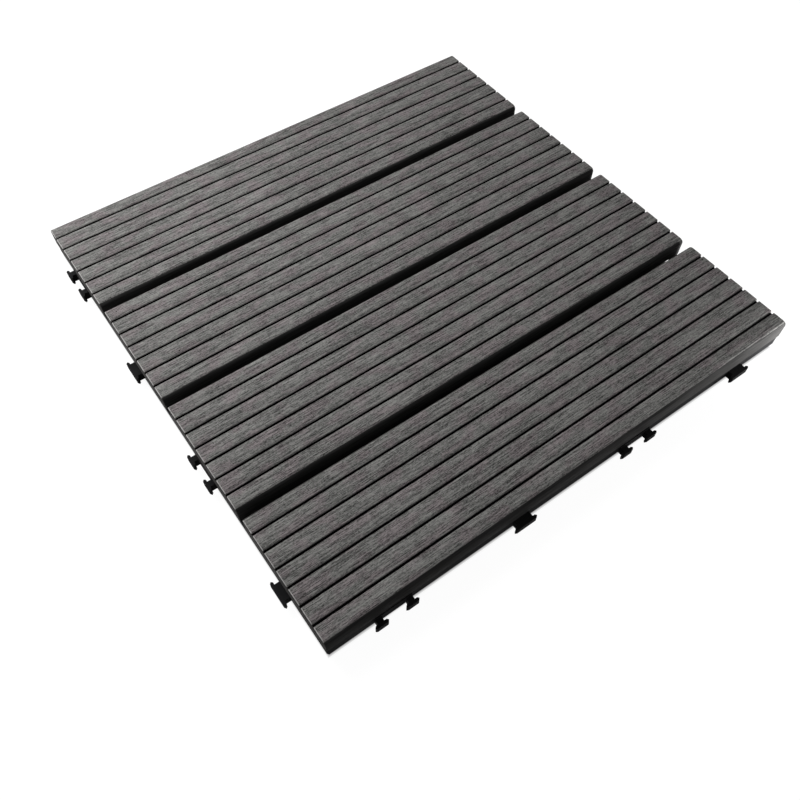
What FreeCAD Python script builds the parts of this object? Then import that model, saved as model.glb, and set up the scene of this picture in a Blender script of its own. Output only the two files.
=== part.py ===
"""Interlocking deck tile: grooved composite slats screwed to a moulded base grid.

Frame: millimetres, +Z up, origin on the ground under the centre of the tile.
X runs along the slats and Y runs across them.
"""

import FreeCAD
import Part

import math
import os

import Sketcher

CELLS_PER_SLAT = 3
NEAR = 0.001

SIZES = [
    ("slat_count", 4, "slats side by side"),
    ("slat_length", 300.0, "length of a slat along X"),
    ("slat_width", 71.25, "width of a slat across Y"),
    ("slat_gap", 5.0, "drain gap between two slats, on one tile or on two joined ones"),
    ("slat_thickness", 12.0, "thickness of a slat"),
    ("slat_top_radius", 2.4, "rounding of a slat's long top edges"),
    ("slat_bottom_bevel", 0.8, "bevel on a slat's long bottom edges"),
    ("groove_count", 6, "grip grooves in a slat"),
    ("groove_pitch", 10.35, "distance between two grooves"),
    ("groove_width", 1.2, "width of a groove between its walls"),
    ("groove_depth", 1.6, "depth of a groove"),
    ("groove_shoulder", 0.5, "bevel where a groove meets the tread"),
    ("foot_height", 4.0, "height of the feet under the grid"),
    ("foot_side", 9.0, "side of a square foot at its root"),
    ("foot_draft", 6.0, "draft angle of a foot in degrees"),
    ("grid_height", 6.0, "height of the grid's walls and ribs"),
    ("grid_inset", 0.3, "distance from the slats' outer edges in to the grid's wall"),
    ("grid_corner_bevel", 0.8, "bevel on the grid's four corners"),
    ("wall_thickness", 2.0, "thickness of the grid's outer wall"),
    ("rib_thickness", 1.6, "thickness of the grid's ribs"),
    ("boss_side", 10.0, "square screw boss in the middle of a rib's span"),
    ("boss_bore_diameter", 4.2, "clearance bore through a screw boss"),
    ("tab_height", 5.0, "height of a connector tab"),
    ("head_thickness", 1.7, "thickness of a tab's head"),
    ("head_bevel", 0.75, "bevel on the corners and the outer bottom edge of a tab's head"),
    ("wide_head_width", 13.2, "head of the single wide tab"),
    ("narrow_head_width", 7.3, "head of each tab of a pair"),
    ("narrow_neck_width", 3.4, "neck of each tab of a pair"),
    ("pair_pad_depth", 0.6, "pad on the wall between the tabs of a pair"),
    ("tab_clearance", 0.2, "play between the tabs of two joined tiles"),
    ("screw_diameter", 3.5, "screw shank"),
    ("screw_length", 14.0, "screw length under its head"),
    ("screw_head_diameter", 7.6, "screw head"),
    ("screw_head_height", 2.3, "height of a screw head"),
    ("pilot_clearance", 0.05, "play between a screw's shank and its pilot hole"),
    ("pilot_extra_depth", 0.5, "pilot hole past the screw's tip"),
]

# Places that several pieces share, worked out from the sizes above.
# The joint module is the step from one tile to the next, so it takes in one drain gap.
MODULE_X = "(sizes.slat_length + sizes.slat_gap)"
MODULE_Y = "(sizes.slat_count * (sizes.slat_width + sizes.slat_gap))"
STATION_X = f"({MODULE_X} / sizes.slat_count)"
STATION_Y = "(sizes.slat_width + sizes.slat_gap)"
CELL_X = f"({STATION_X} / {CELLS_PER_SLAT})"
CELL_Y = f"({STATION_Y} / {CELLS_PER_SLAT})"
GRID_HALF_X = "(sizes.slat_length / 2 - sizes.grid_inset)"
GRID_HALF_Y = f"(({MODULE_Y} - sizes.slat_gap) / 2 - sizes.grid_inset)"
GRID_TOP = "(sizes.foot_height + sizes.grid_height)"

# Two heads pass each other in the joint, with one drain gap left between the slats.
TAB_REACH = "(sizes.slat_gap / 2 + sizes.grid_inset + sizes.head_thickness + sizes.tab_clearance / 2)"
PAIR_OFFSET = "((sizes.wide_head_width + sizes.narrow_neck_width) / 2 + sizes.tab_clearance)"
WIDE_NECK_HALF = f"({PAIR_OFFSET} - sizes.narrow_head_width / 2 - sizes.tab_clearance)"

SCREW_ROW_X = f"({MODULE_X} / 2 - 2 * {CELL_X})"

doc = FreeCAD.newDocument("deck_tile")
sheet = doc.addObject("Spreadsheet::Sheet", "sizes")
for row, (alias, number, note) in enumerate(SIZES, start=1):
    sheet.set(f"A{row}", alias)
    sheet.set(f"B{row}", str(number))
    sheet.setAlias(f"B{row}", alias)
    sheet.set(f"C{row}", note)
doc.recompute()


def value(expression):
    """Number that an expression on the sheet gives now."""
    return float(sheet.evalExpression(expression.replace("sizes.", "")))


def new_body(name):
    body = doc.addObject("PartDesign::Body", name)
    body.Label = name
    return body


def origin_feature(body, role):
    return next(item for item in body.Origin.OriginFeatures if item.Role == role)


def new_sketch(body, name, plane="XY_Plane", height=None):
    """Sketch on one of the body's own planes, raised to a height where one is given."""
    sketch = body.newObject("Sketcher::SketchObject", name)
    sketch.AttachmentSupport = [(origin_feature(body, plane), "")]
    sketch.MapMode = "FlatFace"
    if height is not None:
        sketch.setExpression("AttachmentOffset.Base.z", height)
    return sketch


def hold(sketch, kind, *places, size):
    """Constraint whose size follows the sheet."""
    index = sketch.addConstraint(Sketcher.Constraint(kind, *places, value(size)))
    sketch.renameConstraint(index, f"size_{index}")
    sketch.setExpression(f"Constraints.size_{index}", size)


def circle(sketch, x, y, diameter):
    centre = FreeCAD.Vector(value(x), value(y), 0)
    shape = Part.Circle(centre, FreeCAD.Vector(0, 0, 1), value(diameter) / 2)
    index = sketch.addGeometry(shape, False)
    hold(sketch, "Diameter", index, size=diameter)
    hold(sketch, "DistanceX", -1, 1, index, 3, size=x)
    hold(sketch, "DistanceY", -1, 1, index, 3, size=y)


def outline(sketch, sides, radii=None):
    """Closed outline of upright and level sides, taken in turn.

    sides holds the x of each upright side and the y of each level one, uprights first.
    radii gives the rounding of the corner after a side, by the side's number.
    """
    radii = radii or {}
    count = len(sides)
    at = [value(side) for side in sides]

    def corner(number):
        """Corner between a side and the next one."""
        here = number % count
        after = (number + 1) % count
        if here % 2 == 0:
            return FreeCAD.Vector(at[here], at[after], 0)
        return FreeCAD.Vector(at[after], at[here], 0)

    lines = []
    for number in range(count):
        start = corner(number - 1)
        end = corner(number)
        along = (end - start).normalize()
        before = radii.get((number - 1) % count)
        after = radii.get(number)
        start = start + along * (value(before) if before else 0)
        end = end - along * (value(after) if after else 0)
        index = sketch.addGeometry(Part.LineSegment(start, end), False)
        lines.append((index, start, end, along))
    for number in range(count):
        index, _, end, along = lines[number]
        follower, start, _, turned = lines[(number + 1) % count]
        if number not in radii:
            sketch.addConstraint(Sketcher.Constraint("Coincident", index, 2, follower, 1))
            continue
        radius = value(radii[number])
        centre = end + turned * radius
        left_turn = along.cross(turned).z > 0
        first = end if left_turn else start
        angle = math.atan2(first.y - centre.y, first.x - centre.x)
        whole = Part.Circle(centre, FreeCAD.Vector(0, 0, 1), radius)
        arc = sketch.addGeometry(Part.ArcOfCircle(whole, angle, angle + math.pi / 2), False)
        arc_in, arc_out = (1, 2) if left_turn else (2, 1)
        sketch.addConstraint(Sketcher.Constraint("Tangent", index, 2, arc, arc_in))
        sketch.addConstraint(Sketcher.Constraint("Tangent", arc, arc_out, follower, 1))
        hold(sketch, "Radius", arc, size=radii[number])
    for number, side in enumerate(sides):
        index = lines[number][0]
        upright = number % 2 == 0
        sketch.addConstraint(Sketcher.Constraint("Vertical" if upright else "Horizontal", index))
        hold(sketch, "DistanceX" if upright else "DistanceY", -1, 1, index, 1, size=side)


def extrude(body, kind, name, sketch, length=None, reverse=False, both_ways=False):
    """Pad or Pocket of a sketch, through everything where no length is given."""
    feature = body.newObject(kind, name)
    feature.Profile = sketch
    if length is None:
        feature.Type = "ThroughAll"
    else:
        feature.setExpression("Length", length)
    feature.Reversed = reverse
    if both_ways:
        feature.SideType = "Symmetric"
    return feature


def row_pattern(body, name, feature, role, copies, span):
    """Evenly spaced copies of a feature along one axis, with their number and their full span."""
    row = body.newObject("PartDesign::LinearPattern", name)
    row.Originals = [feature]
    row.Direction = (origin_feature(body, role), [""])
    row.Mode = "Extent"
    row.setExpression("Occurrences", copies)
    row.setExpression("Length", span)
    body.Tip = row


def slat(number):
    """Composite slat with grip grooves, drilled from below for its two screws."""
    body = new_body(f"slat_{number}")
    half_width = "(sizes.slat_width / 2)"
    section = new_sketch(body, f"slat_{number}_section", "YZ_Plane")
    radii = {side: "sizes.slat_top_radius" for side in (2, 3)}
    outline(section, [f"-{half_width}", "0", half_width, "sizes.slat_thickness"], radii)
    extrude(body, "PartDesign::Pad", f"slat_{number}_bar", section, "sizes.slat_length", both_ways=True)

    groove_span = "((sizes.groove_count - 1) * sizes.groove_pitch)"
    half_groove = "sizes.groove_width / 2"
    floor = "(sizes.slat_thickness - sizes.groove_depth)"
    groove = new_sketch(body, f"slat_{number}_groove_section", "YZ_Plane")
    walls = [f"(-{groove_span} / 2 - {half_groove})", f"(-{groove_span} / 2 + {half_groove})"]
    outline(groove, [walls[0], floor, walls[1], "sizes.slat_thickness"])
    cut = extrude(body, "PartDesign::Pocket", f"slat_{number}_groove", groove, both_ways=True)
    row_pattern(body, f"slat_{number}_grooves", cut, "Y_Axis", "sizes.groove_count", groove_span)
    bevel_long_edges(body, number)

    pilot = new_sketch(body, f"slat_{number}_pilot_place")
    circle(pilot, f"-{SCREW_ROW_X}", "0", "(sizes.screw_diameter + 2 * sizes.pilot_clearance)")
    depth = "(sizes.screw_length - sizes.grid_height + sizes.pilot_extra_depth)"
    hole = extrude(body, "PartDesign::Pocket", f"slat_{number}_pilot", pilot, depth, reverse=True)
    row_pattern(body, f"slat_{number}_pilots", hole, "X_Axis", "2", f"2 * {SCREW_ROW_X}")
    body.setExpression("Placement.Base.y", slat_middle(number))
    body.setExpression("Placement.Base.z", GRID_TOP)
    return body


def bevel_long_edges(body, number):
    """Bevel the edges where the grooves meet the tread, and the slat's two bottom edges."""
    doc.recompute()
    reach = value("(sizes.groove_count - 1) / 2 * sizes.groove_pitch + sizes.groove_width")
    tread = value("sizes.slat_thickness")
    shoulders = lengthwise_edges(body.Tip, tread, lambda offset: offset < reach)
    bevel(body, f"slat_{number}_groove_shoulders", shoulders, "sizes.groove_shoulder")
    doc.recompute()
    flank = value("sizes.slat_width / 2") - NEAR
    bottom = lengthwise_edges(body.Tip, 0, lambda offset: offset > flank)
    bevel(body, f"slat_{number}_bottom_bevels", bottom, "sizes.slat_bottom_bevel")


def lengthwise_edges(feature, height, wanted):
    """Straight edges along X at a height, picked by their distance from the slat's middle."""
    edges = []
    for index, edge in enumerate(feature.Shape.Edges, start=1):
        box = edge.BoundBox
        lengthwise = box.YLength < NEAR and box.ZLength < NEAR
        if lengthwise and abs(box.ZMin - height) < NEAR and wanted(abs(box.YMin)):
            edges.append(f"Edge{index}")
    return edges


def bevel(body, name, edges, size):
    """Chamfer on edges of the body's last feature."""
    base = body.Tip
    feature = body.newObject("PartDesign::Chamfer", name)
    feature.Base = (base, edges)
    feature.setExpression("Size", size)
    body.Tip = feature


def slat_middle(number):
    """Y of a slat's centre line, slat 1 being at the front."""
    return f"(({number} - (sizes.slat_count + 1) / 2) * {STATION_Y})"


def base_grid():
    """Moulded base in one piece: wall, crossed ribs, screw bosses, feet and connector tabs.

    Each form is modelled once. Its copies are then joined in a single step.
    """
    cell_x = value(CELL_X)
    cell_y = value(CELL_Y)
    cells = int(value(f"{CELLS_PER_SLAT} * sizes.slat_count"))
    lines_x = [(number - cells / 2) * cell_x for number in range(1, cells)]
    lines_y = [(number - cells / 2) * cell_y for number in range(1, cells)]
    long_rib = block("long_rib", f"2 * {GRID_HALF_X} - sizes.wall_thickness", "sizes.rib_thickness")
    cross_rib = block("cross_rib", "sizes.rib_thickness", f"2 * {GRID_HALF_Y} - sizes.wall_thickness")
    boss = block("boss", "sizes.boss_side", "sizes.boss_side")
    bore = screw_bore()
    foot = drafted_foot()

    parts = [placed(long_rib, 0, y) for y in lines_y]
    parts += [placed(cross_rib, x, 0) for x in lines_x]
    parts += [placed(boss, x, y) for x, y in screw_places()]
    parts += [placed(foot, x, y) for x in lines_x[::2] for y in lines_y[::2]]
    parts += connector_tabs()
    moulding = outer_wall().Shape.multiFuse(parts)
    moulding = moulding.cut([placed(bore, x, y) for x, y in screw_places()])
    grid = doc.addObject("Part::Feature", "base_grid")
    grid.Label = "base_grid"
    grid.Shape = moulding.removeSplitter()
    return grid


def placed(form, x, y, turn=0):
    """Copy of a form at a place on the tile, turned with that place about the tile's middle."""
    copy = form.Shape.copy()
    copy.translate(FreeCAD.Vector(x, y, 0))
    copy.rotate(FreeCAD.Vector(0, 0, 0), FreeCAD.Vector(0, 0, 1), turn)
    return copy


def outer_wall():
    """Square frame with bevelled corners."""
    body = new_body("outer_wall")
    plate = new_sketch(body, "wall_outside", height="sizes.foot_height")
    outline(plate, [f"-{GRID_HALF_X}", f"-{GRID_HALF_Y}", GRID_HALF_X, GRID_HALF_Y])
    extrude(body, "PartDesign::Pad", "wall_block", plate, "sizes.grid_height")
    doc.recompute()
    edges = enumerate(body.Tip.Shape.Edges, start=1)
    corners = [f"Edge{index}" for index, edge in edges if edge.BoundBox.ZLength > NEAR]
    bevel(body, "wall_corners", corners, "sizes.grid_corner_bevel")
    middle = new_sketch(body, "wall_inside", height="sizes.foot_height")
    inner_x = f"({GRID_HALF_X} - sizes.wall_thickness)"
    inner_y = f"({GRID_HALF_Y} - sizes.wall_thickness)"
    outline(middle, [f"-{inner_x}", f"-{inner_y}", inner_x, inner_y])
    extrude(body, "PartDesign::Pocket", "wall_opening", middle, "sizes.grid_height", reverse=True)
    doc.recompute()
    return body


def block(name, length_x, length_y):
    """Rib or boss as high as the grid, centred on the tile."""
    box = doc.addObject("Part::Box", name)
    box.setExpression("Length", length_x)
    box.setExpression("Width", length_y)
    box.setExpression("Height", "sizes.grid_height")
    box.setExpression("Placement.Base.x", f"-({length_x}) / 2")
    box.setExpression("Placement.Base.y", f"-({length_y}) / 2")
    box.setExpression("Placement.Base.z", "sizes.foot_height")
    doc.recompute()
    return box


def screw_bore():
    """Clearance bore through a boss."""
    cylinder = doc.addObject("Part::Cylinder", "boss_bore")
    cylinder.setExpression("Radius", "sizes.boss_bore_diameter / 2")
    cylinder.setExpression("Height", "sizes.grid_height")
    cylinder.setExpression("Placement.Base.z", "sizes.foot_height")
    doc.recompute()
    return cylinder


def drafted_foot():
    """Square foot that narrows towards the ground."""
    wedge = doc.addObject("Part::Wedge", "foot")
    root = "sizes.foot_side / 2"
    tip = "(sizes.foot_side / 2 - sizes.foot_height * tan(sizes.foot_draft * 1 deg))"
    for axis in "XZ":
        wedge.setExpression(f"{axis}min", f"-{tip}")
        wedge.setExpression(f"{axis}max", tip)
        wedge.setExpression(f"{axis}2min", f"-{root}")
        wedge.setExpression(f"{axis}2max", root)
    wedge.setExpression("Ymin", "0")
    wedge.setExpression("Ymax", "sizes.foot_height")
    wedge.Placement.Rotation = FreeCAD.Rotation(FreeCAD.Vector(1, 0, 0), 90)
    doc.recompute()
    return wedge


def screw_places():
    """Middle of each screw: one at each end of every slat, where its centre line meets a rib."""
    row = value(SCREW_ROW_X)
    return [(x, value(slat_middle(number))) for number in slat_numbers for x in (-row, row)]


def connector_tabs():
    """Tabs on all four sides.

    Going round the tile, each side has a pair of narrow tabs, then a wide one, in turn.
    The wide tab of a neighbour drops in between the two tabs of a pair.
    """
    narrow = tee_tab("narrow_tab", "sizes.narrow_neck_width / 2", "sizes.narrow_head_width / 2")
    wide = tee_tab("wide_tab", WIDE_NECK_HALF, "sizes.wide_head_width / 2")
    pad = pair_pad()
    offset = value(PAIR_OFFSET)
    count = int(value("sizes.slat_count"))
    sides = [(value(GRID_HALF_Y), value(STATION_X)), (value(GRID_HALF_X), value(STATION_Y))]
    tabs = []
    for side in range(4):
        wall, station = sides[side % 2]
        turn = 90 * side
        for number in range(count):
            middle = (number - (count - 1) / 2) * station
            if number % 2:
                tabs.append(placed(wide, middle, -wall, turn))
                continue
            tabs.append(placed(narrow, middle - offset, -wall, turn))
            tabs.append(placed(narrow, middle + offset, -wall, turn))
            tabs.append(placed(pad, middle, -wall, turn))
    return tabs


def tee_tab(name, neck, head):
    """T-shaped tab that stands out towards -Y from a wall whose face is at y = 0."""
    body = new_body(name)
    plan = new_sketch(body, f"{name}_plan", height="sizes.foot_height")
    shoulder = f"(sizes.head_thickness - {TAB_REACH})"
    root = "sizes.wall_thickness / 2"
    sides = [f"-({neck})", shoulder, f"-({head})", f"-{TAB_REACH}", head, shoulder, neck, root]
    outline(plan, sides)
    extrude(body, "PartDesign::Pad", f"{name}_block", plan, "sizes.tab_height")
    doc.recompute()
    tip = -value(TAB_REACH)
    behind_head = value(shoulder)
    ground_side = value("sizes.foot_height")
    edges = []
    for index, edge in enumerate(body.Tip.Shape.Edges, start=1):
        box = edge.BoundBox
        corner = box.ZLength > NEAR and box.YMax < behind_head + NEAR
        widest = abs(box.XMin) > value(neck) + NEAR
        lowest = box.ZMax < ground_side + NEAR and box.YMax < tip + NEAR
        if (corner and widest) or lowest:
            edges.append(f"Edge{index}")
    bevel(body, f"{name}_bevels", edges, "sizes.head_bevel")
    doc.recompute()
    return body


def pair_pad():
    """Shallow pad on the wall, as wide as a pair of narrow tabs with their necks."""
    box = doc.addObject("Part::Box", "pair_pad")
    half = f"({PAIR_OFFSET} + sizes.narrow_neck_width / 2)"
    box.setExpression("Length", f"2 * {half}")
    box.setExpression("Width", "sizes.pair_pad_depth + sizes.wall_thickness / 2")
    box.setExpression("Height", "sizes.grid_height")
    box.setExpression("Placement.Base.x", f"-{half}")
    box.setExpression("Placement.Base.y", "-sizes.pair_pad_depth")
    box.setExpression("Placement.Base.z", "sizes.foot_height")
    doc.recompute()
    return box


def screw(name, slat_number, end):
    """Pan-head screw, driven upwards through a boss into the slat."""
    body = new_body(name)
    profile = new_sketch(body, f"{name}_profile", "XZ_Plane")
    head = "(sizes.screw_head_diameter / 2)"
    shank = "(sizes.screw_diameter / 2)"
    corners = [
        ("0", "-sizes.screw_head_height"),
        (head, "-sizes.screw_head_height"),
        (head, "0"),
        (shank, "0"),
        (shank, "sizes.screw_length"),
        ("0", "sizes.screw_length"),
    ]
    points = [FreeCAD.Vector(value(x), value(y), 0) for x, y in corners]
    for number, point in enumerate(points):
        follower = points[(number + 1) % len(points)]
        profile.addGeometry(Part.LineSegment(point, follower), False)
    for number, (x, y) in enumerate(corners):
        follower = (number + 1) % len(points)
        profile.addConstraint(Sketcher.Constraint("Coincident", number, 2, follower, 1))
        hold(profile, "DistanceX", -1, 1, number, 1, size=x)
        hold(profile, "DistanceY", -1, 1, number, 1, size=y)
    turned = body.newObject("PartDesign::Revolution", f"{name}_blank")
    turned.Profile = profile
    turned.ReferenceAxis = (profile, ["V_Axis"])
    turned.Angle = 360

    body.setExpression("Placement.Base.x", f"{end} * {SCREW_ROW_X}")
    body.setExpression("Placement.Base.y", slat_middle(slat_number))
    body.setExpression("Placement.Base.z", "sizes.foot_height")
    return body


def slat_screws(number):
    """The two screws of one slat, as one group of separate solids."""
    ends = (("left", -1), ("right", 1))
    group = doc.addObject("Part::Compound", f"slat_{number}_screws")
    group.Label = f"slat_{number}_screws"
    group.Links = [screw(f"screw_{number}_{side}", number, end) for side, end in ends]
    return group


def write_parts(pieces):
    """Check every object and every piece, then write one STEP file for each piece."""
    doc.recompute()
    for item in doc.Objects:
        if "Invalid" in item.State or "Error" in item.State:
            raise RuntimeError(f"{item.Name} did not compute: {item.State}")
    for piece, solids in pieces:
        if piece.Shape.isNull() or not piece.Shape.isValid():
            raise RuntimeError(f"{piece.Label} has no valid shape")
        if len(piece.Shape.Solids) != solids:
            raise RuntimeError(f"{piece.Label} has {len(piece.Shape.Solids)} solids")
    os.makedirs("parts", exist_ok=True)
    for piece, _ in pieces:
        piece.Shape.exportStep(os.path.join("parts", f"{piece.Label}.step"))
        box = piece.Shape.BoundBox
        low = [round(size, 2) for size in (box.XMin, box.YMin, box.ZMin)]
        high = [round(size, 2) for size in (box.XMax, box.YMax, box.ZMax)]
        print(piece.Label, round(piece.Shape.Volume, 1), low, high)


slat_numbers = range(1, int(value("sizes.slat_count")) + 1)
pieces = [(base_grid(), 1)]
pieces += [(slat(number), 1) for number in slat_numbers]
pieces += [(slat_screws(number), 2) for number in slat_numbers]
write_parts(pieces)
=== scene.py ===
"""Interlocking deck tile: brushed composite slats on a moulded black grid.

Frame: metres, +Z up, origin on the ground under the centre of the tile.
X runs along the slats and Y runs across them.
"""

import math

import bmesh
import bpy
from bpy.props import FloatProperty, FloatVectorProperty, IntProperty, PointerProperty
from mathutils import Matrix, Vector


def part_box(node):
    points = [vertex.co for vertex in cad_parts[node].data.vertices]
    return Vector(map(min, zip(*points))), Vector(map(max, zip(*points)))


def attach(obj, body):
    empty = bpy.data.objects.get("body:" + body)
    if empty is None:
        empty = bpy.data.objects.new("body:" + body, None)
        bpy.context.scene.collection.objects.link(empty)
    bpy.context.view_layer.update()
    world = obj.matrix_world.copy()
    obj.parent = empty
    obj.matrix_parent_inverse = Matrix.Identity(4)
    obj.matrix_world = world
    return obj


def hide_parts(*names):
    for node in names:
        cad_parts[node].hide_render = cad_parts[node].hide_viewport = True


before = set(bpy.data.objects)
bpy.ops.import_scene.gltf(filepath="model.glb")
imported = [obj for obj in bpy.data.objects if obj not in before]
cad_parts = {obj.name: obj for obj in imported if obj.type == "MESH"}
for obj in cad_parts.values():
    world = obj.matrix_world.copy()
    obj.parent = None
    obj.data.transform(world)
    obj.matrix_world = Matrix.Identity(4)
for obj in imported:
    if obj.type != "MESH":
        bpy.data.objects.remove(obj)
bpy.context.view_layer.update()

bl_info = {
    "name": "Deck tile",
    "version": (1, 0, 0),
    "blender": (4, 5, 0),
    "location": "3D View > Sidebar > Deck tile",
    "description": "Dresses an interlocking deck tile and sets its studio",
    "category": "Object",
}

MM = 0.001
SLATS = [name for name in sorted(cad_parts) if name.startswith("slat_") and name[5:].isdigit()]
SCREW_GROUPS = [f"{name}_screws" for name in SLATS]
SLAT_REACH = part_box(SLATS[0])[1][0]

# Two places nearer than this are the same
NEAR = 0.01 * MM

# Least part of a normal along X on a sawn end
ENDWISE = 0.9

# Corners under the first angle are none, and edges over the second look sharp
STRAIGHT = math.radians(1)
SHARP = math.radians(38)

# Surfaces of a slat, in the order of its materials. The grooves and flanks carry painted shade, and
# the last is a painted highlight on the arrises of the sawn ends.
BRUSHED, GROOVE, FLANK, SAWN, PAINTED_HIGHLIGHT = range(5)

# Marks to the metre along X, Y and Z
LONG_STROKES = (130, 3200, 3200)
SHORT_STROKES = (1300, 3200, 3200)
BANDS = (60, 700, 700)
TINTED_PATCHES = (80, 140, 140)
GROOVE_MARKS = (20, 900, 900)
FLANK_MARKS = (60, 900, 900)
SAW_MARKS = (900, 1600, 160)
# Marks within the painted highlight on the arrises
HIGHLIGHT_MARKS = (900, 500, 500)

# How finely the round shapes are divided
EDGE_STEPS = 8
SHOULDER_STEPS = 3
SMALL_STEPS = 2
HEAD_SIDES = 32
CROWN_STEPS = 4
SHANK_SIDES = 20

# Turn of a screw, in radians for each metre of its place along X
TURN_TO_THE_METRE = 900


def length(name, description, default_mm):
    return FloatProperty(
        name=name,
        description=description,
        default=default_mm * MM,
        min=0.0,
        unit="LENGTH",
        subtype="DISTANCE",
        precision=5,
    )


def share(name, description, default):
    return FloatProperty(
        name=name, description=description, default=default, min=0.0, max=1.0, subtype="FACTOR"
    )


def span(name, description, default):
    return FloatVectorProperty(
        name=name, description=description, default=default, min=0.0, max=1.0, size=2
    )


def colour(name, description, default):
    return FloatVectorProperty(
        name=name, description=description, default=default, min=0.0, max=1.0, size=3, subtype="COLOR"
    )


def wattage(name, description, default):
    return FloatProperty(name=name, description=description, default=default, min=0.0, unit="POWER")


def position(name, description, default):
    return FloatVectorProperty(
        name=name, description=description, default=default, subtype="TRANSLATION", unit="LENGTH"
    )


class DeckTileSlats(bpy.types.PropertyGroup):
    """Section and finish of the slats"""

    top_radius: length("Top edge radius", "Rounding of the long top edges", 2.4)
    bottom_bevel: length("Bottom bevel", "Bevel on the long bottom edges", 0.8)
    groove_count: IntProperty(
        name="Grooves", description="Grip grooves in a slat", default=6, min=1, max=12
    )
    groove_pitch: length("Groove pitch", "Distance between two grooves", 10.35)
    groove_width: length("Groove width", "Width of a groove between its walls", 1.2)
    groove_depth: length("Groove depth", "Depth of a groove", 1.6)
    groove_shoulder: length("Groove shoulder", "Rounding where a groove meets the tread", 0.5)
    groove_root: length("Groove root", "Rounding at the bottom of a groove", 0.3)
    sawn_edge: length("Sawn edge", "Arris left on the sawn ends", 0.55)
    # Faces that slope more than this, the flanks and the steeper part of the top rounding, take the
    # flank's painted shade
    painted_shade_slope: share("Brushed slope", "Least upward normal that the brush reaches", 0.85)
    # Arris bevel faces that face further up than this take the painted highlight
    arris_slope: share("Arris slope", "Least upward normal of the torn arrises", 0.2)
    dark_tone: colour("Dark tone", "Darkest brush strokes", (0.045, 0.0435, 0.0435))
    light_tone: colour("Light tone", "Lightest brush strokes", (0.275, 0.266, 0.264))
    warm_tint: colour("Warm tint", "Tint of the redder patches", (1.0, 0.93, 0.945))
    cool_tint: colour("Cool tint", "Tint of the greener patches", (0.975, 1.0, 0.968))
    # Near black: painted shade in the unbrushed grooves, also the colour of the real dark specks on
    # the tread
    groove_shade_and_speck_tone: colour("Groove tone", "Colour of the unbrushed grooves", (0.006, 0.006, 0.006))
    # Painted shade on the flanks and the steeper part of the top rounding
    flank_painted_shade: colour("Flank tone", "Colour of the unbrushed sides", (0.056, 0.055, 0.054))
    sawn_tone: colour("Sawn tone", "Colour of the sawn ends", (0.070, 0.068, 0.066))
    # Painted highlight along the top arrises of the sawn ends
    arris_painted_highlight: colour("Arris tone", "Colour of the torn fibres along a sawn edge", (0.50, 0.49, 0.48))
    long_share: share("Long share", "Part of the tone that the long strokes give", 0.52)
    short_share: share("Short share", "Part of the tone that the short strokes give", 0.43)
    cloudiness: share("Cloudiness", "Part of the tone that soft clouds give", 0.08)
    contrast: share("Contrast", "How far the strokes overshoot the two tones", 0.28)
    stroke_relief: length("Stroke relief", "Depth of the brush strokes", 0.04)
    roughness: span("Roughness", "Roughness from the darkest to the lightest strokes", (0.66, 0.52))
    bare_depth: share("Bare depth", "Tone of the dark marks against the unbrushed tone", 0.6)
    bare_roughness: span("Bare roughness", "Roughness where no brush has reached", (0.8, 0.65))
    sheen: share("Sheen", "Mirror reflection of the brushed composite", 0.04)
    bare_sheen: share("Bare sheen", "Mirror reflection where no brush has reached", 0.01)


class DeckTileGrid(bpy.types.PropertyGroup):
    """Finish of the moulded grid"""

    tone: colour("Tone", "Colour of the moulded plastic", (0.013, 0.013, 0.0135))
    roughness: span("Roughness", "Roughness from the clean to the dusty patches", (0.67, 0.83))
    dust: FloatProperty(
        name="Dust", description="Tone of dusty patches against clean ones", default=1.8, min=0.0
    )
    sheen: share("Sheen", "Mirror reflection of the plastic", 0.015)
    grain_relief: length("Grain relief", "Depth of the moulded grain", 0.03)


class DeckTileScrews(bpy.types.PropertyGroup):
    """Shape and finish of the screws"""

    reach: length("Reach", "Length of a screw under its head", 14.0)
    thread_diameter: length("Thread diameter", "Outside of the thread", 3.5)
    crown_rise: length("Crown rise", "Height of the domed part of a head", 0.9)
    recess_reach: length("Recess reach", "Half the length of the cross recess", 1.9)
    recess_width: length("Recess width", "Width of the cross recess", 0.9)
    recess_depth: length("Recess depth", "Depth of the cross recess", 1.4)
    recess_taper: share("Recess taper", "Size of the recess's floor against its mouth", 0.55)
    flat_reach: length("Flat reach", "Radius of the flat round the recess", 2.185)
    core_diameter: length("Core diameter", "Shank between the threads", 2.5)
    thread_pitch: length("Thread pitch", "Distance between two turns of the thread", 1.4)
    thread_start: length("Thread start", "Start of the thread past the head", 2.1)
    thread_turns: IntProperty(
        name="Thread turns", description="Turns of the thread", default=5, min=1, max=40
    )
    thread_foot: length("Thread foot", "Radius of the thread's foot, inside the core", 1.2)
    thread_half: length("Thread half", "Half the width of the thread's foot", 0.42)
    tip_length: length("Tip length", "Pointed end of the shank", 3.0)
    tip_taper: share("Tip taper", "Width of the tip's end against the core", 0.08)
    head_overlap: length("Head overlap", "Start of the shank inside the head", 0.3)
    tone: colour("Tone", "Colour of the zinc plating", (0.56, 0.56, 0.55))
    dullness: share("Dullness", "Tone of the dull patches against the bright ones", 0.75)
    roughness: span("Roughness", "Roughness from the bright to the dull patches", (0.27, 0.47))


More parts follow.
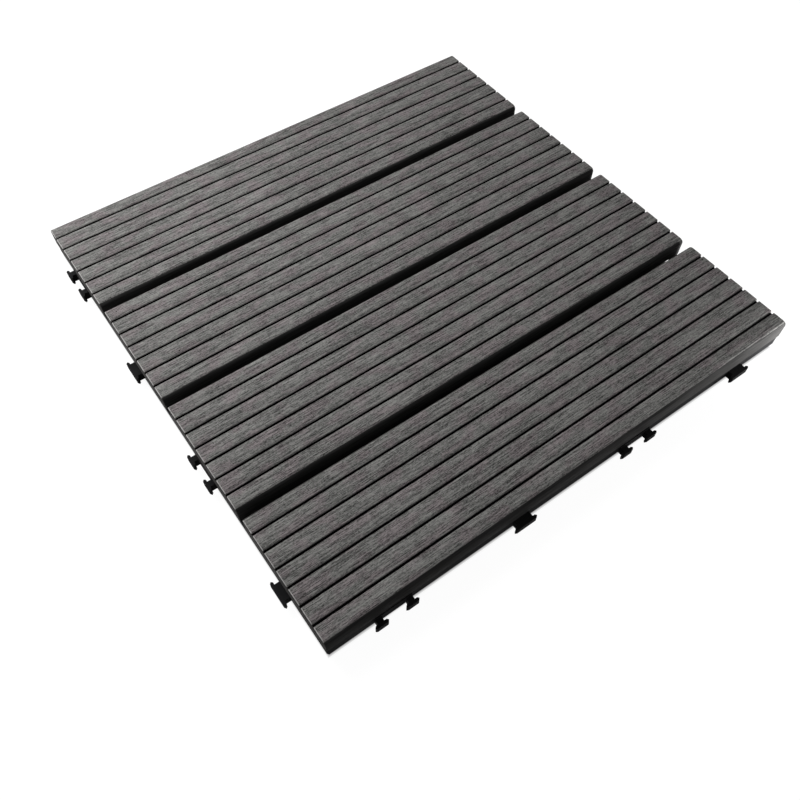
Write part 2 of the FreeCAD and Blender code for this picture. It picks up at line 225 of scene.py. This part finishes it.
class DeckTileStage(bpy.types.PropertyGroup):
    """Floor, light and camera"""

    floor_reach: length("Floor reach", "Half the side of the floor", 4000.0)
    floor_tone: colour("Floor tone", "Colour of the backdrop", (1.0, 1.0, 1.0))
    floor_bounce: colour("Floor bounce", "Colour of the floor under the lamps", (0.12, 0.12, 0.12))
    floor_glow: share("Floor glow", "White that the floor shows where it is seen directly", 0.96)
    key_power: wattage("Key power", "Lamp above and behind the tile", 3.75)
    key_place: position("Key place", "Middle of the key lamp", (-0.15, 0.36, 0.5))
    key_size: length("Key size", "Side of the key lamp", 400.0)
    side_power: wattage("Side power", "Low lamp by the right front corner", 0.24)
    side_place: position("Side place", "Middle of the side lamp", (0.195, -0.19, 0.012))
    side_size: length("Side size", "Side of the side lamp", 16.0)
    left_power: wattage("Left power", "Low lamp at the left of the tile", 0.6)
    left_place: position("Left place", "Middle of the left lamp", (-0.45, 0.15, 0.06))
    left_size: length("Left size", "Side of the left lamp", 100.0)
    # Width of the soft edge of the painted shadow on the floor under the tile
    shade_blur: length("Shade blur", "Width of the edge of the dark floor", 2.0)
    sky_strength: FloatProperty(
        name="Sky strength", description="Even light from all round", default=0.18, min=0.0
    )
    camera_place: position(
        "Camera place", "Where the photograph was taken from", (-0.182096, -0.244987, 0.358506)
    )
    camera_turn: FloatVectorProperty(
        name="Camera turn",
        description="Direction of the photograph",
        default=tuple(math.radians(angle) for angle in (33.1472, -0.4141, -35.7286)),
        subtype="EULER",
        unit="ROTATION",
    )
    lens: FloatProperty(
        name="Lens", description="Focal length on a 36 mm sensor, in mm", default=35.513, min=1.0
    )


class DeckTileSettings(bpy.types.PropertyGroup):
    """All sizes and colours of the tile"""

    slats: PointerProperty(type=DeckTileSlats)
    grid: PointerProperty(type=DeckTileGrid)
    screws: PointerProperty(type=DeckTileScrews)
    stage: PointerProperty(type=DeckTileStage)


# Shader nodes


def connect(tree, given, socket):
    """Link a socket to another one, or set it to a plain value or colour."""
    if isinstance(given, bpy.types.NodeSocket):
        tree.links.new(given, socket)
    elif socket.type == "RGBA":
        socket.default_value = (*given, 1.0)
    else:
        socket.default_value = given


def add(tree, kind, inputs=None, **settings):
    """New node. Each input is a plain value, or a socket that is linked to it."""
    node = tree.nodes.new(kind)
    for name, setting in settings.items():
        setattr(node, name, setting)
    for name, given in (inputs or {}).items():
        connect(tree, given, node.inputs[name])
    return node


def new_mask_group(name, numbers):
    """Empty node group with a vector and named numbers coming in, and a mask going out."""
    group = bpy.data.node_groups.new(name, "ShaderNodeTree")
    group.interface.new_socket("Vector", in_out="INPUT", socket_type="NodeSocketVector")
    for label, default in numbers.items():
        socket = group.interface.new_socket(label, in_out="INPUT", socket_type="NodeSocketFloat")
        socket.default_value = default
    group.interface.new_socket("Mask", in_out="OUTPUT", socket_type="NodeSocketFloat")
    given = group.nodes.new("NodeGroupInput").outputs
    result = group.nodes.new("NodeGroupOutput").inputs["Mask"]
    return group, given, result


def patches_group():
    """Soft patches of any size, as a mask between 0 and 1."""
    name = "Patches"
    if name in bpy.data.node_groups:
        return bpy.data.node_groups[name]
    numbers = {"Scale": 1.0, "Detail": 3.0, "Low": 0.3, "High": 0.7}
    group, given, result = new_mask_group(name, numbers)
    noise = add(
        group,
        "ShaderNodeTexNoise",
        {"Vector": given["Vector"], "Scale": given["Scale"], "Detail": given["Detail"]},
    )
    mask = add(
        group,
        "ShaderNodeMapRange",
        {"Value": noise.outputs["Fac"], "From Min": given["Low"], "From Max": given["High"]},
    )
    group.links.new(mask.outputs["Result"], result)
    return group


def scratches_group():
    """Cells that each have a tone of their own, as a mask between 0 and 1."""
    name = "Scratches"
    if name in bpy.data.node_groups:
        return bpy.data.node_groups[name]
    group, given, result = new_mask_group(name, {"Scale": 1.0})
    cells = add(group, "ShaderNodeTexVoronoi", {"Vector": given["Vector"], "Scale": given["Scale"]})
    tone = add(group, "ShaderNodeSeparateColor", {"Color": cells.outputs["Color"]})
    group.links.new(tone.outputs["Red"], result)
    return group


def placed_group(tree, group, **inputs):
    """Mask of a node group that is placed in a material."""
    node = tree.nodes.new("ShaderNodeGroup")
    node.node_tree = group
    for name, given in inputs.items():
        connect(tree, given, node.inputs[name])
    return node.outputs["Mask"]


def patches(tree, vector, scale=1.0, detail=3.0, low=0.3, high=0.7):
    inputs = {"Vector": vector, "Scale": scale, "Detail": detail, "Low": low, "High": high}
    return placed_group(tree, patches_group(), **inputs)


def scratches(tree, vector):
    """Fine marks, one cell each, as long and as wide as the vector's stretch makes them."""
    return placed_group(tree, scratches_group(), Vector=vector)


def stretched(tree, vector, scale):
    return add(tree, "ShaderNodeMapping", {"Vector": vector, "Scale": scale}).outputs["Vector"]


def math_node(tree, operation, first, second):
    node = add(tree, "ShaderNodeMath", operation=operation)
    connect(tree, first, node.inputs[0])
    connect(tree, second, node.inputs[1])
    return node.outputs["Value"]


def weighted(tree, *masks):
    """Sum of masks, each given with its weight."""
    total = 0.0
    for mask, weight in masks:
        total = math_node(tree, "ADD", math_node(tree, "MULTIPLY", mask, weight), total)
    return total


def blend(tree, mask, first, second, way="MIX"):
    """Colour between two colours, by a mask. A Mix node's colours are its sockets 6 and 7."""
    node = add(tree, "ShaderNodeMix", data_type="RGBA", blend_type=way)
    for number, given in ((0, mask), (6, first), (7, second)):
        connect(tree, given, node.inputs[number])
    return node.outputs[2]


def shaded(tone, factor):
    return tuple(channel * factor for channel in tone)


def ranged(tree, mask, low, high):
    """Mask stretched to run from one number to another."""
    inputs = {"Value": mask, "To Min": low, "To Max": high}
    return add(tree, "ShaderNodeMapRange", inputs).outputs["Result"]


def new_material(name):
    material = bpy.data.materials.new(name)
    material.use_nodes = True
    tree = material.node_tree
    coordinates = add(tree, "ShaderNodeTexCoord").outputs["Object"]
    return material, tree, tree.nodes["Principled BSDF"], coordinates


def roughen(tree, shader, mask, roughness):
    """Roughness between two values, by a mask."""
    tree.links.new(ranged(tree, mask, *roughness), shader.inputs["Roughness"])


def bump(tree, shader, height, distance):
    node = add(tree, "ShaderNodeBump", {"Height": height, "Distance": distance, "Strength": 1.0})
    tree.links.new(node.outputs["Normal"], shader.inputs["Normal"])


def brushed_composite(slats):
    """Brushed wood composite: long and short fine strokes, over faint warm and cool patches."""
    material, tree, shader, place = new_material("Brushed composite")
    long = scratches(tree, stretched(tree, place, LONG_STROKES))
    short = scratches(tree, stretched(tree, place, SHORT_STROKES))
    bands = patches(tree, stretched(tree, place, BANDS))
    clouds = patches(tree, place, scale=26.0, detail=2.0)
    band_share = 1 - slats.long_share - slats.short_share
    strokes = weighted(
        tree, (long, slats.long_share), (short, slats.short_share), (bands, band_share)
    )
    mixed = weighted(tree, (strokes, 1 - slats.cloudiness), (clouds, slats.cloudiness))
    crisp = ranged(tree, mixed, -slats.contrast, 1 + slats.contrast)
    tone = blend(tree, crisp, slats.dark_tone, slats.light_tone)
    redder = patches(
        tree, stretched(tree, place, TINTED_PATCHES), detail=1.0, low=0.46, high=0.62
    )
    tint = blend(tree, redder, slats.cool_tint, slats.warm_tint)
    tone = blend(tree, 1.0, tone, tint, "MULTIPLY")
    specks = patches(tree, place, scale=500.0, detail=1.0, low=0.77, high=0.80)
    tone = blend(tree, specks, tone, slats.groove_shade_and_speck_tone)
    tree.links.new(tone, shader.inputs["Base Color"])
    roughen(tree, shader, strokes, slats.roughness)
    shader.inputs["Specular IOR Level"].default_value = slats.sheen
    bump(tree, shader, strokes, slats.stroke_relief)
    return material


def toned_composite(name, tone, slats, stretch):
    """Unbrushed composite of one tone, with marks drawn out by a stretch. Its tone carries the painted
    shade of the grooves and flanks and the painted highlight of the arrises.
    """
    material, tree, shader, place = new_material(name)
    marks = patches(tree, stretched(tree, place, stretch), detail=2.0)
    marked = blend(tree, marks, shaded(tone, slats.bare_depth), tone)
    tree.links.new(marked, shader.inputs["Base Color"])
    roughen(tree, shader, marks, slats.bare_roughness)
    shader.inputs["Specular IOR Level"].default_value = slats.bare_sheen
    bump(tree, shader, marks, slats.stroke_relief)
    return material


def slat_materials(slats):
    """Brushed tread, unbrushed grooves darkened with painted shade, flanks in painted shade, sawn
    ends, and a painted highlight on their arrises.
    """
    return (
        brushed_composite(slats),
        toned_composite("Groove composite in painted shade", slats.groove_shade_and_speck_tone, slats, GROOVE_MARKS),
        toned_composite("Flank painted shade", slats.flank_painted_shade, slats, FLANK_MARKS),
        toned_composite("Sawn composite", slats.sawn_tone, slats, SAW_MARKS),
        toned_composite("Arris painted highlight", slats.arris_painted_highlight, slats, HIGHLIGHT_MARKS),
    )


def moulded_material(grid):
    """Moulded black plastic with a fine grain and a little dust."""
    material, tree, shader, place = new_material("Moulded plastic")
    dusty = patches(tree, place, scale=60.0)
    grain = patches(tree, place, scale=1800.0, detail=1.0)
    tone = blend(tree, dusty, grid.tone, shaded(grid.tone, grid.dust))
    tree.links.new(tone, shader.inputs["Base Color"])
    roughen(tree, shader, dusty, grid.roughness)
    shader.inputs["Specular IOR Level"].default_value = grid.sheen
    bump(tree, shader, grain, grid.grain_relief)
    return material


def plated_material(screws):
    """Zinc plating, a little cloudy."""
    material, tree, shader, place = new_material("Zinc plating")
    dull = patches(tree, place, scale=420.0)
    tone = blend(tree, dull, screws.tone, shaded(screws.tone, screws.dullness))
    tree.links.new(tone, shader.inputs["Base Color"])
    roughen(tree, shader, dull, screws.roughness)
    shader.inputs["Metallic"].default_value = 1.0
    return material


def floor_material(stage):
    """Pale floor that throws little light up at the tile, with a painted shadow under it."""
    material = bpy.data.materials.new("Pale floor")
    material.use_nodes = True
    tree = material.node_tree
    shader = tree.nodes["Principled BSDF"]
    shader.inputs["Base Color"].default_value = (*stage.floor_bounce, 1.0)
    shader.inputs["Roughness"].default_value = 1.0
    shader.inputs["Specular IOR Level"].default_value = 0.0
    # The floor glows where it is seen directly, except in the painted shadow under the tile
    seen = math_node(tree, "MULTIPLY", seen_directly(tree), outside_painted_tile_shadow(tree, stage))
    glow = blend(tree, seen, (0.0, 0.0, 0.0), shaded(stage.floor_tone, stage.floor_glow))
    tree.links.new(glow, shader.inputs["Emission Color"])
    shader.inputs["Emission Strength"].default_value = 1.0
    return material


def outside_painted_tile_shadow(tree, stage):
    """Mask of the floor outside the tile's outline. Inside it the glow is left out as a painted
    shadow, because no light gets in under the slats.
    """
    place = add(tree, "ShaderNodeTexCoord").outputs["Object"]
    across = add(tree, "ShaderNodeSeparateXYZ", {"Vector": place}).outputs
    reach = math_node(
        tree,
        "MAXIMUM",
        math_node(tree, "ABSOLUTE", across["X"], 0.0),
        math_node(tree, "ABSOLUTE", across["Y"], 0.0),
    )
    bounds = {"Value": reach, "From Min": SLAT_REACH - stage.shade_blur, "From Max": SLAT_REACH}
    return add(tree, "ShaderNodeMapRange", bounds).outputs["Result"]


def seen_directly(tree):
    """Mask of what the camera sees, in mirrors and through glass too."""
    path = add(tree, "ShaderNodeLightPath").outputs
    mirrored = math_node(tree, "MAXIMUM", path["Is Glossy Ray"], path["Is Transmission Ray"])
    return math_node(tree, "MAXIMUM", path["Is Camera Ray"], mirrored)


# Pieces


def finish_piece(bm, name, materials, node):
    """Make a piece from a bmesh: outward normals, sharp edges, materials and place on the tile."""
    bmesh.ops.recalc_face_normals(bm, faces=bm.faces)
    for face in bm.faces:
        face.smooth = True
    for edge in bm.edges:
        edge.smooth = len(edge.link_faces) == 2 and edge.calc_face_angle() < SHARP
    mesh = bpy.data.meshes.new(name)
    bm.to_mesh(mesh)
    bm.free()
    piece = bpy.data.objects.new(name, mesh)
    bpy.context.scene.collection.objects.link(piece)
    for material in materials:
        mesh.materials.append(material)
    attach(piece, "root")
    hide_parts(node)
    return piece


def round_corners(bm, corners, radius, segments):
    bmesh.ops.bevel(
        bm,
        geom=corners,
        offset=radius,
        offset_type="OFFSET",
        segments=segments,
        profile=0.5,
        affect="VERTICES",
        material=-1,
        clamp_overlap=True,
    )


def slat_section(bm, low, high, slats):
    """Flat section of a slat at its left end, with its grooves and rounded corners."""
    middle = (low.y + high.y) / 2
    floor = high.z - slats.groove_depth
    place = Matrix.Translation((low.x, middle, (low.z + high.z) / 2))
    size = Matrix.Diagonal((high.z - low.z, high.y - low.y, 1, 1))
    upright = Matrix.Rotation(math.radians(-90), 4, "Y")
    bmesh.ops.create_grid(bm, x_segments=1, y_segments=1, size=0.5, matrix=place @ upright @ size)

    first = middle - (slats.groove_count - 1) / 2 * slats.groove_pitch
    grooves = [first + number * slats.groove_pitch for number in range(slats.groove_count)]
    half = slats.groove_width / 2
    cuts = [(Vector((0, y + side * half, 0)), Vector((0, 1, 0))) for y in grooves for side in (-1, 1)]
    cuts.append((Vector((0, 0, floor)), Vector((0, 0, 1))))
    for point, normal in cuts:
        everything = bm.verts[:] + bm.edges[:] + bm.faces[:]
        bmesh.ops.bisect_plane(bm, geom=everything, plane_co=point, plane_no=normal)

    def in_groove(face):
        centre = face.calc_center_median()
        return centre.z > floor and any(abs(centre.y - y) < half for y in grooves)

    bmesh.ops.delete(bm, geom=[face for face in bm.faces if in_groove(face)], context="FACES")
    bmesh.ops.dissolve_faces(bm, faces=bm.faces[:])
    straight = [vert for vert in bm.verts if vert.calc_edge_angle() < STRAIGHT]
    bmesh.ops.dissolve_verts(bm, verts=straight)

    edge_of_slat = (high.y - low.y) / 2 - NEAR

    def corners(height, outer):
        return [
            vert
            for vert in bm.verts
            if abs(vert.co.z - height) < NEAR and (abs(vert.co.y - middle) > edge_of_slat) == outer
        ]

    round_corners(bm, corners(high.z, False), slats.groove_shoulder, SHOULDER_STEPS)
    round_corners(bm, corners(floor, False), slats.groove_root, SMALL_STEPS)
    round_corners(bm, corners(high.z, True), slats.top_radius, EDGE_STEPS)
    round_corners(bm, corners(low.z, True), slats.bottom_bevel, SMALL_STEPS)


def surface_of(face, low, high, slats):
    """Which surface of a slat a face belongs to."""
    centre = face.calc_center_median()
    off_middle = abs(centre.y - (low.y + high.y) / 2)
    on_tread = off_middle < (high.y - low.y) / 2 - slats.top_radius
    below_shoulders = centre.z < high.z - slats.groove_shoulder - NEAR
    if abs(face.normal.x) > ENDWISE:
        return SAWN
    # Groove walls and floors take the painted shade of the grooves
    if on_tread and below_shoulders and centre.z > low.z + slats.top_radius:
        return GROOVE
    # Steep faces, the flanks and the steeper part of the top rounding, take the flank's painted shade
    if face.normal.z < slats.painted_shade_slope and (below_shoulders or not on_tread):
        return FLANK
    return BRUSHED


def slat_shape(low, high, slats):
    """Slat drawn out from its section, with the arris taken off both sawn ends."""
    bm = bmesh.new()
    slat_section(bm, low, high, slats)
    drawn = bmesh.ops.extrude_face_region(bm, geom=bm.faces[:], use_keep_orig=True)
    far_end = [item for item in drawn["geom"] if isinstance(item, bmesh.types.BMVert)]
    bmesh.ops.translate(bm, vec=(high.x - low.x, 0, 0), verts=far_end)
    bmesh.ops.recalc_face_normals(bm, faces=bm.faces)
    for face in bm.faces:
        face.material_index = surface_of(face, low, high, slats)
    ends = [face for face in bm.faces if face.material_index == SAWN]
    arrises = list({edge for face in ends for edge in face.edges})
    bevelled = bmesh.ops.bevel(
        bm,
        geom=arrises,
        offset=slats.sawn_edge,
        offset_type="OFFSET",
        segments=SMALL_STEPS,
        profile=0.5,
        affect="EDGES",
        material=-1,
        clamp_overlap=True,
    )
    groove_mouth = high.z - slats.groove_shoulder - NEAR
    # Upward faces of the arris bevel take the painted highlight
    for face in bevelled["faces"]:
        if face.normal.z > slats.arris_slope and face.calc_center_median().z > groove_mouth:
            face.material_index = PAINTED_HIGHLIGHT
    return bm


def with_corners(faces):
    """Faces with their edges and vertices, which an extrusion needs to leave no face inside."""
    return list({item for face in faces for item in (face, *face.edges, *face.verts)})


def raise_faces(bm, faces, rise, scale=1.0):
    """Extrude faces along Z and draw them in about the Z axis."""
    drawn = bmesh.ops.extrude_face_region(bm, geom=with_corners(faces))["geom"]
    verts = [item for item in drawn if isinstance(item, bmesh.types.BMVert)]
    bmesh.ops.scale(bm, vec=(scale, scale, 1), verts=verts)
    bmesh.ops.translate(bm, vec=(0, 0, rise), verts=verts)
    return [item for item in drawn if isinstance(item, bmesh.types.BMFace)]


def screw_head(bm, screws, radius, height):
    """Domed head below the ground plane, with a cross recess cut up into it."""
    bmesh.ops.create_circle(bm, cap_ends=True, segments=HEAD_SIDES, radius=radius)
    crown = raise_faces(bm, bm.faces[:], screws.crown_rise - height)
    flat = screws.flat_reach
    reach, depth = radius, 0.0
    for number in range(1, CROWN_STEPS + 1):
        angle = math.radians(90) * number / CROWN_STEPS
        next_reach = flat + (radius - flat) * math.cos(angle)
        next_depth = screws.crown_rise * math.sin(angle)
        crown = raise_faces(bm, crown, depth - next_depth, next_reach / reach)
        reach, depth = next_reach, next_depth
    bmesh.ops.inset_region(bm, faces=crown, thickness=flat - screws.recess_reach)
    bottom = NEAR - height
    half = screws.recess_width / 2
    for normal in (Vector((1, 0, 0)), Vector((0, 1, 0))):
        for side in (-1, 1):
            middle = [face for face in bm.faces if lies_within(face, bottom, screws.recess_reach)]
            cut = normal * half * side
            bmesh.ops.bisect_plane(bm, geom=with_corners(middle), plane_co=cut, plane_no=normal)
    cross = [
        face
        for face in bm.faces
        if lies_within(face, bottom, screws.recess_reach)
        and min(abs(face.calc_center_median().x), abs(face.calc_center_median().y)) < half
    ]
    raise_faces(bm, cross, screws.recess_depth, screws.recess_taper)


def lies_within(face, height, radius):
    """Whether a face lies below a height, with all its corners near the Z axis."""
    near = radius + 2 * NEAR
    return all(vert.co.z < height and vert.co.xy.length < near for vert in face.verts)


def screw_shank(bm, screws):
    """Core with a pointed tip, and a thread wound round it."""
    core = screws.core_diameter / 2
    disc = bmesh.ops.create_circle(bm, cap_ends=True, segments=SHANK_SIDES, radius=core)
    section = list({face for vert in disc["verts"] for face in vert.link_faces})
    bmesh.ops.translate(bm, vec=(0, 0, -screws.head_overlap), verts=disc["verts"])
    straight = screws.head_overlap + screws.reach - screws.tip_length
    tip = raise_faces(bm, section, straight)
    raise_faces(bm, tip, screws.tip_length, screws.tip_taper)

    foot, half = screws.thread_foot, screws.thread_half
    crest, pitch = screws.thread_diameter / 2, screws.thread_pitch
    corners = ((foot, 0, -half), (crest, 0, 0), (foot, 0, half))
    start = Vector((0, 0, screws.thread_start))
    ridge = [bm.verts.new(start + Vector(corner)) for corner in corners]
    face = bm.faces.new(ridge)
    bmesh.ops.spin(
        bm,
        geom=[face, *face.edges, *ridge],
        cent=(0, 0, 0),
        axis=(0, 0, 1),
        dvec=(0, 0, pitch / SHANK_SIDES),
        angle=math.tau * screws.thread_turns,
        steps=SHANK_SIDES * screws.thread_turns,
    )
    open_edges = [edge for edge in bm.edges if edge.is_boundary]
    bmesh.ops.holes_fill(bm, edges=open_edges)


def screw_pair(low, high, screws):
    """Both screws of a slat, heads down."""
    radius = (high.y - low.y) / 2
    seat = high.z - screws.reach
    group = bmesh.new()
    for x in (low.x + radius, high.x - radius):
        one = bmesh.new()
        screw_head(one, screws, radius, seat - low.z)
        screw_shank(one, screws)
        driven = Matrix.Rotation(x * TURN_TO_THE_METRE, 3, "Z")
        bmesh.ops.rotate(one, cent=(0, 0, 0), matrix=driven, verts=one.verts)
        bmesh.ops.translate(one, vec=(x, (low.y + high.y) / 2, seat), verts=one.verts)
        mesh = bpy.data.meshes.new("screw")
        one.to_mesh(mesh)
        one.free()
        group.from_mesh(mesh)
        bpy.data.meshes.remove(mesh)
    return group


# Operators


def settings():
    return bpy.context.scene.deck_tile


class DECKTILE_OT_add_slats(bpy.types.Operator):
    """Add the four grooved slats"""

    bl_idname = "deck_tile.add_slats"
    bl_label = "Add slats"

    def execute(self, context):
        slats = settings().slats
        materials = slat_materials(slats)
        for name in SLATS:
            low, high = (Vector(corner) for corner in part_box(name))
            shape = slat_shape(low, high, slats)
            finish_piece(shape, f"{name}_brushed", materials, name)
        return {"FINISHED"}


class DECKTILE_OT_finish_grid(bpy.types.Operator):
    """Give the moulded grid its plastic"""

    bl_idname = "deck_tile.finish_grid"
    bl_label = "Finish grid"

    def execute(self, context):
        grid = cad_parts["base_grid"]
        material = moulded_material(settings().grid)
        if not grid.material_slots:
            raise RuntimeError("the grid has no material slot")
        for place in grid.material_slots:
            place.material = material
        return {"FINISHED"}


class DECKTILE_OT_add_screws(bpy.types.Operator):
    """Add the screws that hold the slats from below"""

    bl_idname = "deck_tile.add_screws"
    bl_label = "Add screws"

    def execute(self, context):
        screws = settings().screws
        materials = (plated_material(screws),)
        for name in SCREW_GROUPS:
            low, high = (Vector(corner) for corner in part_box(name))
            shape = screw_pair(low, high, screws)
            finish_piece(shape, f"{name}_threaded", materials, name)
        return {"FINISHED"}


class DECKTILE_OT_set_stage(bpy.types.Operator):
    """Set the floor, the lamps and the camera"""

    bl_idname = "deck_tile.set_stage"
    bl_label = "Set stage"

    def execute(self, context):
        stage = settings().stage
        lay_floor(stage)
        light_sky(stage)
        add_lamp("Key lamp", stage.key_power, stage.key_place, stage.key_size)
        add_lamp("Side lamp", stage.side_power, stage.side_place, stage.side_size)
        add_lamp("Left lamp", stage.left_power, stage.left_place, stage.left_size)
        add_camera(stage)
        return {"FINISHED"}


def lay_floor(stage):
    bm = bmesh.new()
    bmesh.ops.create_grid(bm, x_segments=1, y_segments=1, size=stage.floor_reach)
    mesh = bpy.data.meshes.new("floor")
    bm.to_mesh(mesh)
    bm.free()
    mesh.materials.append(floor_material(stage))
    floor = bpy.data.objects.new("floor", mesh)
    bpy.context.scene.collection.objects.link(floor)


def light_sky(stage):
    """White behind the tile, and a weaker even light on it."""
    world = bpy.data.worlds.new("Studio")
    world.use_nodes = True
    bpy.context.scene.world = world
    tree = world.node_tree
    strength = add(
        tree,
        "ShaderNodeMapRange",
        {"Value": seen_directly(tree), "To Min": stage.sky_strength, "To Max": 1.0},
    )
    background = tree.nodes["Background"]
    background.inputs["Color"].default_value = (1, 1, 1, 1)
    tree.links.new(strength.outputs["Result"], background.inputs["Strength"])


def add_lamp(name, power, place, size):
    """Soft square lamp, aimed at the tile."""
    lamp = bpy.data.lights.new(name, "AREA")
    lamp.shape = "SQUARE"
    lamp.size = size
    lamp.energy = power
    holder = bpy.data.objects.new(name, lamp)
    holder.location = place
    holder.rotation_euler = (-Vector(place)).to_track_quat("-Z", "Y").to_euler()
    holder.visible_camera = False
    bpy.context.scene.collection.objects.link(holder)


def add_camera(stage):
    camera = bpy.data.cameras.new("Camera")
    camera.sensor_width = 36.0
    camera.lens = stage.lens
    camera.clip_start = 0.01
    holder = bpy.data.objects.new("Camera", camera)
    holder.location = stage.camera_place
    holder.rotation_euler = stage.camera_turn
    bpy.context.scene.collection.objects.link(holder)
    bpy.context.scene.camera = holder
    bpy.context.scene.view_settings.view_transform = "Standard"


class DECKTILE_PT_panel(bpy.types.Panel):
    """Sizes, colours and steps of the deck tile"""

    bl_idname = "DECKTILE_PT_panel"
    bl_label = "Deck tile"
    bl_space_type = "VIEW_3D"
    bl_region_type = "UI"
    bl_category = "Deck tile"

    def draw(self, context):
        tile = context.scene.deck_tile
        for group, steps in PANEL_STEPS:
            box = self.layout.box()
            values = getattr(tile, group)
            for name in values.__annotations__:
                box.prop(values, name)
            for step in steps:
                box.operator(step.bl_idname)


PANEL_STEPS = (
    ("slats", (DECKTILE_OT_add_slats,)),
    ("grid", (DECKTILE_OT_finish_grid,)),
    ("screws", (DECKTILE_OT_add_screws,)),
    ("stage", (DECKTILE_OT_set_stage,)),
)
CLASSES = (
    DeckTileSlats,
    DeckTileGrid,
    DeckTileScrews,
    DeckTileStage,
    DeckTileSettings,
    DECKTILE_OT_add_slats,
    DECKTILE_OT_finish_grid,
    DECKTILE_OT_add_screws,
    DECKTILE_OT_set_stage,
    DECKTILE_PT_panel,
)


def register():
    for item in CLASSES:
        bpy.utils.register_class(item)
    bpy.types.Scene.deck_tile = PointerProperty(type=DeckTileSettings)


def unregister():
    del bpy.types.Scene.deck_tile
    for item in reversed(CLASSES):
        bpy.utils.unregister_class(item)


def main():
    register()
    bpy.ops.deck_tile.set_stage()
    bpy.ops.deck_tile.add_slats()
    bpy.ops.deck_tile.finish_grid()
    bpy.ops.deck_tile.add_screws()


if __name__ == "__main__":
    main()
